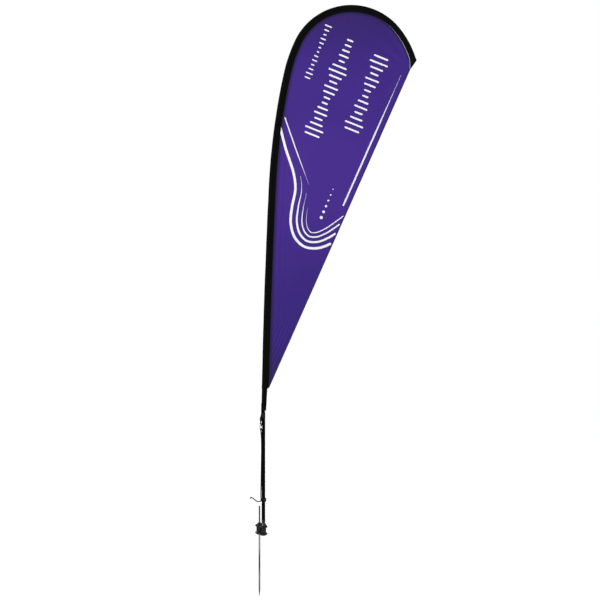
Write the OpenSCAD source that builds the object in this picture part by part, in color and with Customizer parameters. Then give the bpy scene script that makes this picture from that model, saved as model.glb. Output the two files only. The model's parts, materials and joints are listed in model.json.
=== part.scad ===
// Teardrop flag: a bowed pole in a sleeve along the edge of the cloth, turning on a spindle beside a ground stake.
// Millimetres, +Z up. The origin is on the stake's axis at the underside of the bracket, which is ground level.
// The cloth lies in the XZ plane through the pole, with its point towards +X.

/* [Ground stake and bracket] */
// Diameter of the stake below the bracket
stake_d = 10; // [10:0.5:12]
// Depth of the stake's point below the ground
stake_depth = 349; // [250:1:500]
// Height of the stake's head above the ground
stake_head_z = 156; // [120:1:170]
// Length of the stake's point
stake_point_len = 40; // [20:1:60]
// Height of the bracket's two barrels
barrel_h = 52; // [52:1:52]
// Radius of the rims on the stake barrel
stake_rim_r = 23.5; // [20:0.5:26]
// Radius of the rims on the spindle barrel
spindle_rim_r = 22.5; // [20:0.5:26]

/* [Pole] */
// Distance of the pole's axis from the stake's, along the cloth
pole_x = 23; // [20:1:30]
// Distance of the pole's axis from the stake's, across the cloth
pole_y = -30; // [-36:1:-28]
// Height of the pole's foot
foot_z = 74; // [74:1:78]
// Radius of the base tube
base_r = 10; // [10:0.1:10.2]
// Length of the straight base tube
base_len = 600; // [590:5:610]
// Length of each of the four sections above it
section_len = 725; // [725:1:725]
// How far the pole bends round the crown, in degrees
crown_turn = 115; // [110:1:118]
// Length of the pole that bends round the crown
crown_len = 665; // [650:5:680]

/* [Cloth] */
// Distance from the pole's axis to the sleeve's seam
seam = 27; // [25:1:30]
// Thickness of the cloth, with its print
cloth_t = 1; // [0.8:0.1:1.5]
// Width of the hem on the free edge
hem_w = 8; // [5:1:12]
// Cloth's lower corner, along from the pole's axis
tail_x = 31; // [30:1:33]
// Cloth's lower corner, height
tail_z = 810; // [805:1:820]
// Cloth's point, along from the pole's axis
point_x = 808; // [804:1:812]
// Cloth's point, height
point_z = 2562; // [2555:1:2570]

/* [Tension cord] */
// Diameter of the elastic cord
cord_d = 6; // [4:0.5:6]
// Height of the middle turn of the lashing on the pole
lashing_z = 197; // [190:1:205]
// Turns in the lashing
lashing_turns = 3; // [2:1:3]
// Radius of the ring, to the middle of its wire
ring_r = 9; // [8.5:0.25:9.5]

/* [Hidden] */
$fn = 48;

// The pole's line: each length turns by [degrees] over [millimetres].
BOW = [[0, base_len], [1, 20], [1.8, 1230], [9.5, 620], [13, 190], [crown_turn, crown_len], [21, 175]];
pole_len = base_len + 20 + 1230 + 620 + 190 + crown_len + 175;
// Outer and bore radius of each pole section, from the base up
SECTION_R = [base_r, 9, 8, 7, 6];
BORE_R = [8, 7, 6, 5, 3.5];
// Rings follow the pole closely from here up, where it bends, and near each joint.
fine_from = base_len + 2.6 * section_len;
steps_in_section = 25;
fine_step = section_len / steps_in_section;
// Bands and plugs reach whole steps from a joint, so that all the pieces there have the same rings.
ferrule_len = fine_step;
ferrule_wall = 0.55;
joiner_reach = 2 * fine_step;
slip = 0.1;

// Above the ground the stake is thinner, and the bracket stands just clear of its shoulder.
shoulder = 0.5;
lift = 0.3;

// Pocket of the sleeve round the pole
pocket_r = 11.5;
skin = 0.6;
sleeve_start = 735;
sleeve_end = pole_len + 12;
cuff_start = 612;
panel_start = 775;

// Spindle barrel, from the bottom up
bush_bore = 6.05;
journal_r = 6;
peg_r = 7.4;
peg_top = 214;
bush_r = 8.95;
bush_len = 16;
bush_flange_t = 1.5;
seat_depth = 1.8;
nut_room_r = 11.5;
nut_room_h = 15;
cone_z = 53.1;
o_ring_z = [110, 180];
o_ring_wire = 0.95;

// Snap hook: its own middle is the middle of the jaw.
hook_at = [-14.5, -12, 610];
strap_len = 92;
strap_face = 7.3;
hook_turn = -52;
hook_t = 5;
jaw_r = 7;
jaw_wall = 1.5;
gate_from = 120;
gate_to = 205;
gate_half = 1;
pin_r = 0.8;
ring_wire = 1.25;
ring_at = [-14, -12.6, 598.4];
knot_at = [-13.6, -12.6, 585];
knot_r = 4.4;
knot_heading = -62;

// Route of the elastic cord from its knot down to the lashing, from the pole's axis
CORD_ROUTE = [
    [-13.4, -12.4, 580.6], [-12.8, -12.2, 568], [-11.4, -11.6, 550], [-10.2, -10.8, 520], [-9.8, -10.2, 470],
    [-10.6, -9.2, 410], [-11.6, -7.6, 350], [-12.6, -5.8, 290], [-13.6, -3.6, 240], [-14.2, -2, 207.5]];
// Route of its free end, from the lashing out
TAIL_ROUTE = [
    [-13.4, -4, 190], [-20, -5.5, 188], [-27, -6.5, 187.5], [-34, -7, 189], [-41, -7, 192.5],
    [-48, -6.5, 197.5], [-54.5, -6, 203], [-61, -5.5, 207], [-67, -5, 208.5]];

// ---- Lines and sweeps ----

// Goes on from [x, z, heading] by a turn over a run.
function bend(p, turn, run) =
    turn == 0
    ? [p[0] + run * sin(p[2]), p[1] + run * cos(p[2]), p[2]]
    : let(r = run / turn * 180 / PI, h = p[2] + turn)
        [p[0] + r * (cos(p[2]) - cos(h)), p[1] + r * (sin(h) - sin(p[2])), h];

// Where the pole is, s along it: [x, z, heading from upright].
function pole_at(s, i = 0, p = [0, foot_z, 0]) =
    i == len(BOW) - 1 || s <= BOW[i][1]
    ? bend(p, BOW[i][0] * s / BOW[i][1], s)
    : pole_at(s - BOW[i][1], i + 1, bend(p, BOW[i][0], BOW[i][1]));

// A point beside the pole: u outwards from the cloth, v across it.
function off_pole(s, u, v) =
    let(p = pole_at(s)) [p[0] - u * cos(p[2]), v, p[1] + u * sin(p[2])];

// Places along the pole from one end to the other, where a sweep has its rings.
function stations(from, to) =
    let(k_max = ceil((pole_len - base_len) / fine_step))
    concat(
        [from],
        [for (k = [0:k_max])
            let(s = base_len + k * fine_step, by_joint = (k + 2) % steps_in_section <= 4)
            if ((k % 5 == 0 || by_joint || s >= fine_from) && s > from + 2 && s < to - 2) s],
        [to]);

function section_end(k) = base_len + k * section_len;
function disc(r, sides = 12) = [for (k = [0:sides - 1]) [r * cos(360 * k / sides), r * sin(360 * k / sides)]];

// The sleeve's section: round the pole, then flat to a seam.
function pocket(r, to_seam, half) =
    concat([for (a = [-110:22:110]) [r * cos(a), r * sin(a)]], [[-to_seam, half], [-to_seam, -half]]);

function ring_points(s, loop) = [for (q = loop) off_pole(s, q[0], q[1])];
function quad(a, b, c, d) = [[a, b, c], [a, c, d]];

// A solid bar along rings of n points each
module solid_sweep(rings) {
    n = len(rings[0]);
    last = len(rings) - 1;
    points = [for (r = rings) each r];
    sides = [for (i = [0:last - 1], j = [0:n - 1])
        let(k = (j + 1) % n)
        each quad(i * n + j, i * n + k, (i + 1) * n + k, (i + 1) * n + j)];
    foot = [[for (j = [n - 1:-1:0]) j]];
    head = [[for (j = [0:n - 1]) last * n + j]];
    polyhedron(points, concat(sides, foot, head));
}

// A hollow tube between rings of an outer and an inner skin
module hollow_sweep(outer, inner) {
    n = len(outer[0]);
    last = len(outer) - 1;
    m = 2 * n;
    points = [for (i = [0:last]) each concat(outer[i], inner[i])];
    walls = [for (i = [0:last - 1], j = [0:n - 1])
        let(k = (j + 1) % n, a = i * m, b = (i + 1) * m)
        each concat(
            quad(a + j, a + k, b + k, b + j),
            quad(a + n + k, a + n + j, b + n + j, b + n + k))];
    ends = [for (j = [0:n - 1])
        let(k = (j + 1) % n, b = last * m)
        each concat(
            quad(n + j, n + k, k, j),
            quad(b + j, b + k, b + n + k, b + n + j))];
    polyhedron(points, concat(walls, ends));
}

// A tube that follows the pole
module pole_tube(from, to, r, bore) {
    at = stations(from, to);
    hollow_sweep([for (s = at) ring_points(s, disc(r))], [for (s = at) ring_points(s, disc(bore))]);
}

// A rod that follows the pole
function rod_rings(from, to, r) = [for (s = stations(from, to)) ring_points(s, disc(r))];
module pole_rod(from, to, r) solid_sweep(rod_rings(from, to, r));

function unit(v) = v / norm(v);
// A smooth curve through points a, b, c, d, between b and c
function curve(a, b, c, d, t) =
    0.5 * (2 * b + (c - a) * t + (2 * a - 5 * b + 4 * c - d) * t * t + (3 * b - a - 3 * c + d) * t * t * t);
// The route with more points on the same smooth curve
function smooth(route, steps) =
    let(n = len(route) - 1)
    concat(
        [for (i = [0:n - 1], k = [0:steps - 1])
            curve(route[max(i - 1, 0)], route[i], route[i + 1], route[min(i + 2, n)], k / steps)],
        [route[n]]);

// A round cord along a route. Its rings turn from across, a direction that the route never takes.
module cord(route, d, sides, across) {
    n = len(route) - 1;
    solid_sweep([for (i = [0:n])
        let(
            along = unit(route[min(i + 1, n)] - route[max(i - 1, 0)]),
            a = unit(cross(across, along)),
            b = cross(a, along))
        [for (k = [0:sides - 1])
            route[i] + d / 2 * (cos(360 * k / sides) * a + sin(360 * k / sides) * b)]]);
}

module on_pole() translate([pole_x, pole_y, 0]) children();
module on_hook() translate(hook_at) rotate([0, 0, hook_turn]) children();
module ring_shape(r, wire) rotate_extrude() translate([r, 0]) circle(r = wire, $fn = 24);

// ---- Ground stake and bracket ----

module ground_stake() {
    r = stake_d / 2;
    neck_r = r - shoulder;
    color("silver")
        difference() {
            rotate_extrude()
                polygon([
                    [0, -stake_depth], [0.6, 1.5 - stake_depth], [r, stake_point_len - stake_depth], [r, 0],
                    [neck_r, 0], [neck_r, stake_head_z - 2], [neck_r - 1.5, stake_head_z], [0, stake_head_z]]);
            roll_pin_hole(2.02);
        }
}

// The pin crosses the stake at a right angle to the web.
module roll_pin_hole(r) {
    translate([0, 0, 28])
        rotate([0, 0, atan2(pole_y, pole_x)])
            rotate([90, 0, 0])
                cylinder(h = 60, r = r, center = true, $fn = 32);
}

// A barrel with a rim near each end and a waist between them
module barrel(rim_r, waist_r) {
    soft = 1.5;
    rotate_extrude()
        polygon([
            [0, lift], [waist_r - 1, lift], [waist_r, lift + 1], [waist_r, 5],
            [rim_r - soft, 5], [rim_r, 5 + soft], [rim_r, 13 - soft], [rim_r - soft, 13],
            [waist_r + 2.5, 13], [waist_r + 0.6, 14.2], [waist_r, 16.5],
            [waist_r, barrel_h - 11.5], [waist_r + 0.6, barrel_h - 9.2], [waist_r + 2.5, barrel_h - 8],
            [rim_r - soft, barrel_h - 8], [rim_r, barrel_h - 8 + soft], [rim_r, barrel_h - soft],
            [rim_r - soft, barrel_h], [0, barrel_h]]);
}

module bracket_body() {
    reach = norm([pole_x, pole_y]);
    yaw = atan2(pole_y, pole_x);
    color([0.07, 0.07, 0.07])
        difference() {
            union() {
                barrel(stake_rim_r, 17);
                on_pole() barrel(spindle_rim_r, 14.5);
                translate([0, 0, barrel_h - 0.01])
                    rotate_extrude()
                        polygon([[0, 0], [18.5, 0], [17, 1.5], [9, 9.5], [8, 11.5], [0, 11.5]]);
                rotate([0, 0, yaw]) translate([0, -5, 5]) cube([reach, 10, barrel_h - 5]);
                // A slanting rib stiffens each face of the web.
                rotate([0, 0, yaw])
                    translate([reach / 2 + 1, 0, 28.5])
                        rotate([0, 42, 0])
                            cube([5, 15, 38], center = true);
            }
            translate([0, 0, -1]) cylinder(h = 90, r = stake_d / 2 - shoulder + 0.03);
            roll_pin_hole(2.05);
            on_pole() {
                translate([0, 0, -1]) cylinder(h = 90, r = 9);
                translate([0, 0, -1]) cylinder(h = nut_room_h + 1, r = nut_room_r);
                translate([0, 0, barrel_h - seat_depth]) cylinder(h = 5, r = 12.5);
                translate([0, 0, 32]) rotate([0, 90, 0]) cylinder(h = 30, r = 1.55, $fn = 24);
                // A flat seat for the screw's head
                translate([14.2, -4, 28]) cube([4, 8, 8]);
            }
        }
}

module roll_pin() {
    color("dimgray")
        translate([0, 0, 28])
            rotate([0, 0, atan2(pole_y, pole_x)])
                rotate([90, 0, 0])
                    difference() {
                        cylinder(h = 33, r = 2, center = true, $fn = 32);
                        cylinder(h = 40, r = 1.2, center = true, $fn = 32);
                        translate([0, -0.25, -20]) cube([4, 0.5, 40]);
                    }
}

// A plain bush with its flange at z = 0 and its body above it
module bush() {
    rotate_extrude()
        polygon([
            [bush_bore, -bush_flange_t], [11.2, -bush_flange_t], [11.2, 0],
            [bush_r, 0], [bush_r, bush_len], [bush_bore, bush_len]]);
}

module upper_bush() {
    color("ivory") on_pole() translate([0, 0, barrel_h - seat_depth + 0.02]) mirror([0, 0, 1]) bush();
}

module lower_bush() {
    color("ivory") on_pole() translate([0, 0, nut_room_h - 0.05]) bush();
}

module bush_screw() {
    color("dimgray")
        on_pole()
            translate([0, 0, 32])
                rotate([0, 90, 0])
                    difference() {
                        union() {
                            translate([0, 0, 9.6]) cylinder(h = 5, r = 1.5, $fn = 24);
                            translate([0, 0, 14.25])
                                rotate_extrude($fn = 32) polygon([[0, 0], [3.2, 0], [3.2, 1.2], [2.4, 2.2], [0, 2.2]]);
                        }
                        translate([-0.4, -2.2, 15.6]) cube([0.8, 4.4, 2]);
                    }
}

module bottom_plug() {
    color([0.1, 0.1, 0.1])
        on_pole()
            rotate_extrude()
                polygon([[0, 0.2], [10.4, 0.2], [nut_room_r - 0.05, 1.2], [nut_room_r - 0.05, 2.2], [0, 2.2]]);
}

// ---- Rotor ----

module spindle() {
    groove = 1.25;
    color("lightsteelblue")
        on_pole()
            difference() {
                rotate_extrude()
                    polygon([
                        [0, 2.6], [4.2, 2.6], [5, 3.4], [5, 13.2], [journal_r, 13.2], [journal_r, cone_z],
                        [peg_r, cone_z], [peg_r, peg_top - 6], [peg_r - 2, peg_top], [0, peg_top]]);
                for (z = o_ring_z)
                    translate([0, 0, z - groove])
                        difference() {
                            cylinder(h = 2 * groove, r = peg_r + 1);
                            translate([0, 0, -1]) cylinder(h = 2 * groove + 2, r = 6);
                        }
            }
}

module rotor_cone() {
    color([0.08, 0.08, 0.08])
        on_pole()
            rotate_extrude()
                polygon([
                    [12.5, barrel_h + 0.4], [16.4, barrel_h + 0.4], [17.6, barrel_h + 1.6], [17.4, barrel_h + 3],
                    [12.4, 64], [9.6, 70.5], [8.9, 71.5], [8.8, foot_z - 0.4], [peg_r + 0.05, foot_z - 0.4],
                    [peg_r + 0.05, cone_z + 0.05], [12.5, cone_z + 0.05]]);
}

module washer(r, hole, z, t) {
    on_pole()
        translate([0, 0, z])
            difference() {
                cylinder(h = t, r = r);
                translate([0, 0, -1]) cylinder(h = t + 2, r = hole);
            }
}

module thrust_washer() color("white") washer(12, journal_r + 0.1, cone_z - 1, 0.95);
module nut_washer() color("silver") washer(8.5, 5.1, 12.2, 0.98);

module peg_o_rings() {
    color([0.15, 0.15, 0.15])
        on_pole()
            for (z = o_ring_z)
                translate([0, 0, z])
                    ring_shape(peg_r - 0.45, o_ring_wire);
}

module spindle_nut() {
    color("silver")
        on_pole()
            translate([0, 0, 4.2])
                difference() {
                    cylinder(h = 7.98, r = 9.2, $fn = 6);
                    translate([0, 0, -1]) cylinder(h = 10, r = 5.05, $fn = 48);
                }
}

// ---- Pole ----

module pole_foot_ring() {
    color([0.1, 0.1, 0.1])
        on_pole()
            translate([0, 0, foot_z])
                rotate_extrude()
                    polygon([
                        [8.1, 0], [9.2, 0], [10.1, 0.6], [10.5, 1.6], [10.5, 14], [base_r + 0.05, 15],
                        [base_r + 0.05, 6], [8.1, 6]]);
}

module pole_base_tube() {
    color([0.06, 0.06, 0.06])
        on_pole()
            translate([0, 0, foot_z + 6.05])
                difference() {
                    cylinder(h = base_len - 6.05, r = base_r);
                    translate([0, 0, -1]) cylinder(h = base_len, r = BORE_R[0]);
                }
}

module section(k) {
    color([0.1, 0.1, 0.1])
        on_pole()
            pole_tube(section_end(k - 1) + 0.2, min(section_end(k), pole_len), SECTION_R[k], BORE_R[k]);
}

module pole_second_section() section(1);
module pole_third_section() section(2);
module pole_fourth_section() section(3);
module pole_tip_section() section(4);

// A plug glued into the section above, which slips into the one below
module joiner(k) {
    s = section_end(k - 1);
    color("gray")
        on_pole()
            solid_sweep(concat(
                rod_rings(s - joiner_reach, s, BORE_R[k - 1] - 2 * slip),
                rod_rings(s, s + joiner_reach, BORE_R[k] - slip)));
}

module base_joiner() joiner(1);
module second_joiner() joiner(2);
module third_joiner() joiner(3);
module fourth_joiner() joiner(4);

// A metal band that keeps the mouth of a section from splitting
module ferrule(k) {
    s = section_end(k - 1);
    r = SECTION_R[k - 1];
    color("silver") on_pole() pole_tube(s - ferrule_len, s, r + ferrule_wall, r + 0.05);
}

module base_ferrule() {
    color("silver")
        on_pole()
            translate([0, 0, foot_z + base_len - ferrule_len])
                difference() {
                    cylinder(h = ferrule_len, r = base_r + ferrule_wall);
                    translate([0, 0, -1]) cylinder(h = ferrule_len + 2, r = base_r + 0.05);
                }
}

module second_ferrule() ferrule(2);
module third_ferrule() ferrule(3);
module fourth_ferrule() ferrule(4);

module pole_tip_cap() {
    r = SECTION_R[4];
    color([0.15, 0.15, 0.15])
        on_pole()
            difference() {
                pole_rod(pole_len - fine_step, pole_len + 4, r + 1.6);
                pole_rod(pole_len - 1.5 * fine_step, pole_len + 0.2, r + 0.1);
            }
}

// ---- Cloth ----

// A point on the free edge: t along from the lower corner, inset into the cloth
function on_edge(t, inset) =
    let(
        foot = [tail_x, tail_z],
        along = unit([point_x, point_z] - foot))
    foot + t * along + inset * [-along[1], along[0]];

edge_len = norm([point_x - tail_x, point_z - tail_z]);

module flat_cloth(outline, thick) {
    on_pole() translate([0, thick / 2, 0]) rotate([90, 0, 0]) linear_extrude(height = thick) polygon(outline);
}

module flag_panel() {
    beside = seam + 0.3;
    edge = [for (s = stations(panel_start, pole_len)) let(p = off_pole(s, -beside, 0)) [p[0], p[2]]];
    color([0.25, 0.17, 0.5])
        flat_cloth(concat(edge, [on_edge(edge_len - 6, hem_w + 0.3), on_edge(32, hem_w + 0.3)]), cloth_t);
}

module free_edge_hem() {
    color([0.2, 0.14, 0.42])
        flat_cloth(
            [on_edge(3, 0), on_edge(edge_len - 1, 0), on_edge(edge_len - 5, hem_w), on_edge(20, hem_w)],
            cloth_t + 0.8);
}

module sleeve_length(from, to, seam_low, seam_high) {
    at = stations(from, to);
    share = function(s) (s - from) / (to - from);
    reach = [for (s = at) seam_low + (seam_high - seam_low) * share(s)];
    hollow_sweep(
        [for (i = [0:len(at) - 1]) ring_points(at[i], pocket(pocket_r, reach[i], 1.3))],
        [for (i = [0:len(at) - 1]) ring_points(at[i], pocket(pocket_r - skin, reach[i] - 2.5, 0.5))]);
}

module pole_sleeve() color([0.05, 0.05, 0.05]) on_pole() sleeve_length(sleeve_start, sleeve_end, seam, seam);
module sleeve_cuff() color([0.07, 0.07, 0.07]) on_pole() sleeve_length(cuff_start, sleeve_start - 0.3, 15, 19.5);

// The sewn end of the sleeve, past the pole's tip, which carries the pole's push
module tip_pocket() {
    low = off_pole(sleeve_end + 0.3, -seam, 0);
    high = off_pole(sleeve_end + 0.3, pocket_r - 1, 0);
    color([0.05, 0.05, 0.05])
        flat_cloth([[low[0], low[2]], [point_x + 0.8, point_z + 0.5], [point_x + 36, point_z + 52], [high[0], high[2]]], 5);
}

// A strap sewn to the cuff, which turns round the bar of the snap hook's eye
module tail_strap() {
    wide = 8;
    wall = 1;
    bar_z = 26.3;
    half = hook_t / 2 + 0.2;
    color([0.1, 0.1, 0.1])
        on_pole()
            on_hook()
                rotate([90, 0, 90])
                    translate([0, 0, -wide / 2])
                        linear_extrude(height = wide)
                            difference() {
                                polygon([
                                    [-half - wall, bar_z - wall], [half + wall, bar_z - wall],
                                    [half + wall, bar_z + 8], [strap_face, bar_z + 34],
                                    [strap_face, bar_z + strap_len], [strap_face - 2.4, bar_z + strap_len],
                                    [strap_face - 2.4, bar_z + 34], [-half - wall, bar_z + 8]]);
                                polygon([
                                    [-half, bar_z], [half, bar_z], [half, bar_z + 7.6],
                                    [1.2, bar_z + 12], [0.8, bar_z + 12], [-half, bar_z + 7.6]]);
                            }
}

// ---- Snap hook, ring and cord ----

function jaw_point(a) = [jaw_r * cos(a), 0, jaw_r * sin(a)];

module along_y(h, r) rotate([90, 0, 0]) cylinder(h = h, r = r, center = true, $fn = 24);

module snap_hook_body() {
    color([0.08, 0.08, 0.08])
        on_pole()
            on_hook()
                difference() {
                    union() {
                        // The jaw, open on its left, where the gate closes it
                        rotate([90, 0, 0])
                            translate([0, 0, -hook_t / 2])
                                linear_extrude(height = hook_t)
                                    difference() {
                                        circle(r = jaw_r + jaw_wall);
                                        circle(r = jaw_r - jaw_wall);
                                        polygon([
                                            [0, 0], 14 * [cos(gate_from), sin(gate_from)],
                                            14 * [-1, 0.2], 14 * [cos(gate_to), sin(gate_to)]]);
                                    }
                        translate(jaw_point(gate_from)) along_y(hook_t, 2.3);
                        translate([-2, -hook_t / 2, jaw_r - 1]) cube([4, hook_t, 15]);
                        // The strap's eye
                        difference() {
                            translate([-6, -hook_t / 2, 20.5]) cube([12, hook_t, 10]);
                            translate([-4.3, -hook_t, 23]) cube([8.6, 2 * hook_t, 4.6]);
                        }
                    }
                    // A slot for the gate, and its pin's bore
                    translate(jaw_point(gate_from)) {
                        along_y(2 * gate_half + 0.6, 3);
                        along_y(2 * hook_t, pin_r + 0.02);
                    }
                }
}

module gate_pin() {
    color("silver") on_pole() on_hook() translate(jaw_point(gate_from)) along_y(hook_t, pin_r);
}

module snap_hook_gate() {
    low = jaw_point(gate_to);
    top = jaw_point(gate_from);
    along = unit(low - top);
    lean = atan2(along[0], -along[2]);
    color([0.15, 0.15, 0.15])
        on_pole()
            on_hook()
                translate(top)
                    difference() {
                        union() {
                            along_y(2 * gate_half, 2);
                            rotate([0, -lean, 0])
                                translate([-1, -gate_half, -norm(low - top) + 1.1])
                                    cube([2, 2 * gate_half, norm(low - top) - 1.1]);
                            // The thumb tab
                            rotate([0, -lean, 0])
                                translate([-3.6, -gate_half, -5.5])
                                    cube([3, 2 * gate_half, 1.6]);
                        }
                        along_y(2 * hook_t, pin_r + 0.05);
                    }
}

module tension_ring() {
    color("gainsboro") on_pole() translate(ring_at) rotate([90, 0, 0]) ring_shape(ring_r, ring_wire);
}

// The cord's knot on the ring: the ring's wire passes through it.
module ring_knot() {
    color([0.12, 0.12, 0.12])
        on_pole()
            difference() {
                translate(knot_at)
                    rotate_extrude() polygon([[0, -4], [3, -4], [4.6, -1.5], [4.8, 1.5], [3.6, 5.5], [1.5, 7.2], [0, 7.2]]);
                translate(ring_at) rotate([90, 0, 0]) ring_shape(ring_r, ring_wire + 0.05);
            }
}

module tension_cord() {
    color([0.25, 0.25, 0.27]) on_pole() cord(smooth(CORD_ROUTE, 3), cord_d, 8, [0, 1, 0]);
}

module cord_lashing() {
    color([0.1, 0.1, 0.1])
        on_pole()
            for (k = [0:lashing_turns - 1])
                translate([0, 0, lashing_z + (k - (lashing_turns - 1) / 2) * (cord_d + 0.1)])
                    ring_shape(base_r + 0.3 + cord_d / 2, cord_d / 2);
}

// The last turn is knotted in front of the pole.
module lashing_knot() {
    out = base_r + 0.3 + cord_d + knot_r + 0.3;
    color([0.1, 0.1, 0.1])
        on_pole()
            translate([out * cos(knot_heading), out * sin(knot_heading), lashing_z])
                rotate_extrude()
                    polygon([
                        [0, -6.5], [2.4, -6.2], [knot_r - 0.4, -4], [knot_r, -1], [knot_r, 2], [knot_r - 0.8, 4.6],
                        [2, 6.4], [0, 6.6]]);
}

module cord_tail() {
    color([0.15, 0.15, 0.15]) on_pole() cord(TAIL_ROUTE, cord_d, 8, [0, 1, 0]);
}

module cord_end_knot() {
    color([0.1, 0.1, 0.1])
        on_pole()
            translate(TAIL_ROUTE[len(TAIL_ROUTE) - 1] + [-2, 0, -0.5])
                sphere(r = 5, $fn = 32);
}

ground_stake();
bracket_body();
roll_pin();
upper_bush();
lower_bush();
bush_screw();
bottom_plug();
spindle();
rotor_cone();
thrust_washer();
peg_o_rings();
spindle_nut();
nut_washer();
pole_foot_ring();
pole_base_tube();
pole_second_section();
pole_third_section();
pole_fourth_section();
pole_tip_section();
base_joiner();
second_joiner();
third_joiner();
fourth_joiner();
base_ferrule();
second_ferrule();
third_ferrule();
fourth_ferrule();
pole_tip_cap();
flag_panel();
free_edge_hem();
pole_sleeve();
sleeve_cuff();
tip_pocket();
tail_strap();
snap_hook_body();
gate_pin();
snap_hook_gate();
tension_ring();
ring_knot();
tension_cord();
cord_lashing();
lashing_knot();
cord_tail();
cord_end_knot();
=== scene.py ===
"""A teardrop flag: cloth in a sleeve on a bowed pole, which turns on a spindle beside a ground stake."""
import json
from math import atan2, ceil, cos, exp, floor, hypot, pi, radians, sin, sqrt

import bmesh
import bpy
from mathutils import Matrix, Vector, kdtree, noise
from mathutils.bvhtree import BVHTree

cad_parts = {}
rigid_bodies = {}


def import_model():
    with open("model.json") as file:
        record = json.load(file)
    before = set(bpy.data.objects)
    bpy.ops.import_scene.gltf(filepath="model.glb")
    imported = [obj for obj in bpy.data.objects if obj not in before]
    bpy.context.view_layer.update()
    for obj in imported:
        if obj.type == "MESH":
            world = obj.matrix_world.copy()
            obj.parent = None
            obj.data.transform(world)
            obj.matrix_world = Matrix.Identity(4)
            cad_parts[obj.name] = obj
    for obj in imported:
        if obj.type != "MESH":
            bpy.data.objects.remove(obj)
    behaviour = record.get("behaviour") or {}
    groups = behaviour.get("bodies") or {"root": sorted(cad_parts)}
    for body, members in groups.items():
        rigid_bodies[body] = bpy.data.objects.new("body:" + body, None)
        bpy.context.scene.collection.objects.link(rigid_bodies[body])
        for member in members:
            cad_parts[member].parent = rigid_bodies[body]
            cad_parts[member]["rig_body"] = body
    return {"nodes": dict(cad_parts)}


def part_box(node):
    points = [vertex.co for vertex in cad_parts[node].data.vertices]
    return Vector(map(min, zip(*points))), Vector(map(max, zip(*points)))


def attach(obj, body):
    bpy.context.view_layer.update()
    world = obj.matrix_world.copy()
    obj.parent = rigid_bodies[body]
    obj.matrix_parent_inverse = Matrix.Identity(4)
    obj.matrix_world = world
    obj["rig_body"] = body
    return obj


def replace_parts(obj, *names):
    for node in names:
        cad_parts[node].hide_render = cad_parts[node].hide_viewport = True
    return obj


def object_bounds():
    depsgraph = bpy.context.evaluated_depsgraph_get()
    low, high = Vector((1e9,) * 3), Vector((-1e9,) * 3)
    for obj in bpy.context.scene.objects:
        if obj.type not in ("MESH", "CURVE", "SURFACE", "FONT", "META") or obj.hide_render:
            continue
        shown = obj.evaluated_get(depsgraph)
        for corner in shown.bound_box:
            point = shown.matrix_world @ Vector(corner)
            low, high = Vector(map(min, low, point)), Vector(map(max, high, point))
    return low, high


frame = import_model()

CAD_BOX = [list(corner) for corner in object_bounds()]

# ---- Measures, in metres ----

BASE_LOW, BASE_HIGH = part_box("pole_base_tube")
FOOT_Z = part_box("pole_foot_ring")[0].z
POLE = Vector(((BASE_LOW.x + BASE_HIGH.x) / 2, (BASE_LOW.y + BASE_HIGH.y) / 2, 0.0))
POLE_R = (BASE_HIGH.x - BASE_LOW.x) / 2

# The pole's line: each length turns by (degrees) over (metres).
BOW = [(0, 0.600), (1, 0.020), (1.8, 1.230), (9.5, 0.620), (13, 0.190), (115, 0.665), (21, 0.175)]
POLE_LEN = sum(run for turn, run in BOW)
CROWN_START = sum(run for turn, run in BOW[:4])

# Places along the pole where the cuff, the sleeve and the cloth start and end
CUFF_START = 0.612
SLEEVE_START = 0.735
SLEEVE_END = POLE_LEN + 0.012
CLOTH_START = 0.748
CLOTH_END = POLE_LEN + 0.062
CUFF_HEM = 0.016
SLEEVE_HEM = 0.014

# The sleeve's section: radius round the pole, how far the seam lies from the pole's middle and how much
# less past the crown's top, half the seam's thickness, and how far the cloth is tucked under it
POCKET_R = 0.0115
SEAM = 0.027
SEAM_NARROWS = 0.0065
SEAM_HALF = 0.0012
TUCK = 0.003
SLEEVE_THICK = 0.0006

# Lower corner and point of the cloth's free edge, out from the pole's foot and up
TAIL = Vector((0.031, 0.810))
POINT = Vector((0.808, 2.562))
EDGE = (POINT - TAIL).normalized()
EDGE_IN = Vector((-EDGE.y, EDGE.x))
EDGE_LEN = (POINT - TAIL).length
HEM_WIDTH = 0.009
HEM_HALF = 0.00105
HEM_MIDDLE = 0.004
CLOTH_THICK = 0.0005
PRINT_THICK = CLOTH_THICK + 0.0003
RAW_EDGE_THICK = CLOTH_THICK + 0.0004

# Lower and upper corner of the sleeve's sewn end
POCKET_LOW = POLE + Vector((POINT.x + 0.0008, 0.0, POINT.y + 0.0005))
POCKET_HIGH = POLE + Vector((POINT.x + 0.036, 0.0, POINT.y + 0.052))

# Depth and pitch of the cloth's ripples
BELLY_DEPTH, SWELL_DEPTH, FLUTTER_DEPTH = 0.006, 0.0022, 0.0012
FOLD_DEPTH, FOLD_PITCH = 0.0011, 0.028
PUCKER_DEPTH, PUCKER_PITCH = 0.0010, 0.041
RAY_DEPTH, RAYS_PER_RADIAN = 0.0014, 15
DRAW_DEPTH, DRAW_PITCH = 0.0010, 0.019

CORD_D = 0.006
# Route of the elastic cord from its knot down to the lashing, from the pole's axis
CORD_ROUTE = [
    (-0.0134, -0.0124, 0.5806), (-0.0128, -0.0122, 0.568), (-0.0114, -0.0116, 0.550),
    (-0.0102, -0.0108, 0.520), (-0.0098, -0.0102, 0.470), (-0.0106, -0.0092, 0.410),
    (-0.0116, -0.0076, 0.350), (-0.0126, -0.0058, 0.290), (-0.0136, -0.0036, 0.240),
    (-0.0142, -0.002, 0.2075)]
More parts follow.
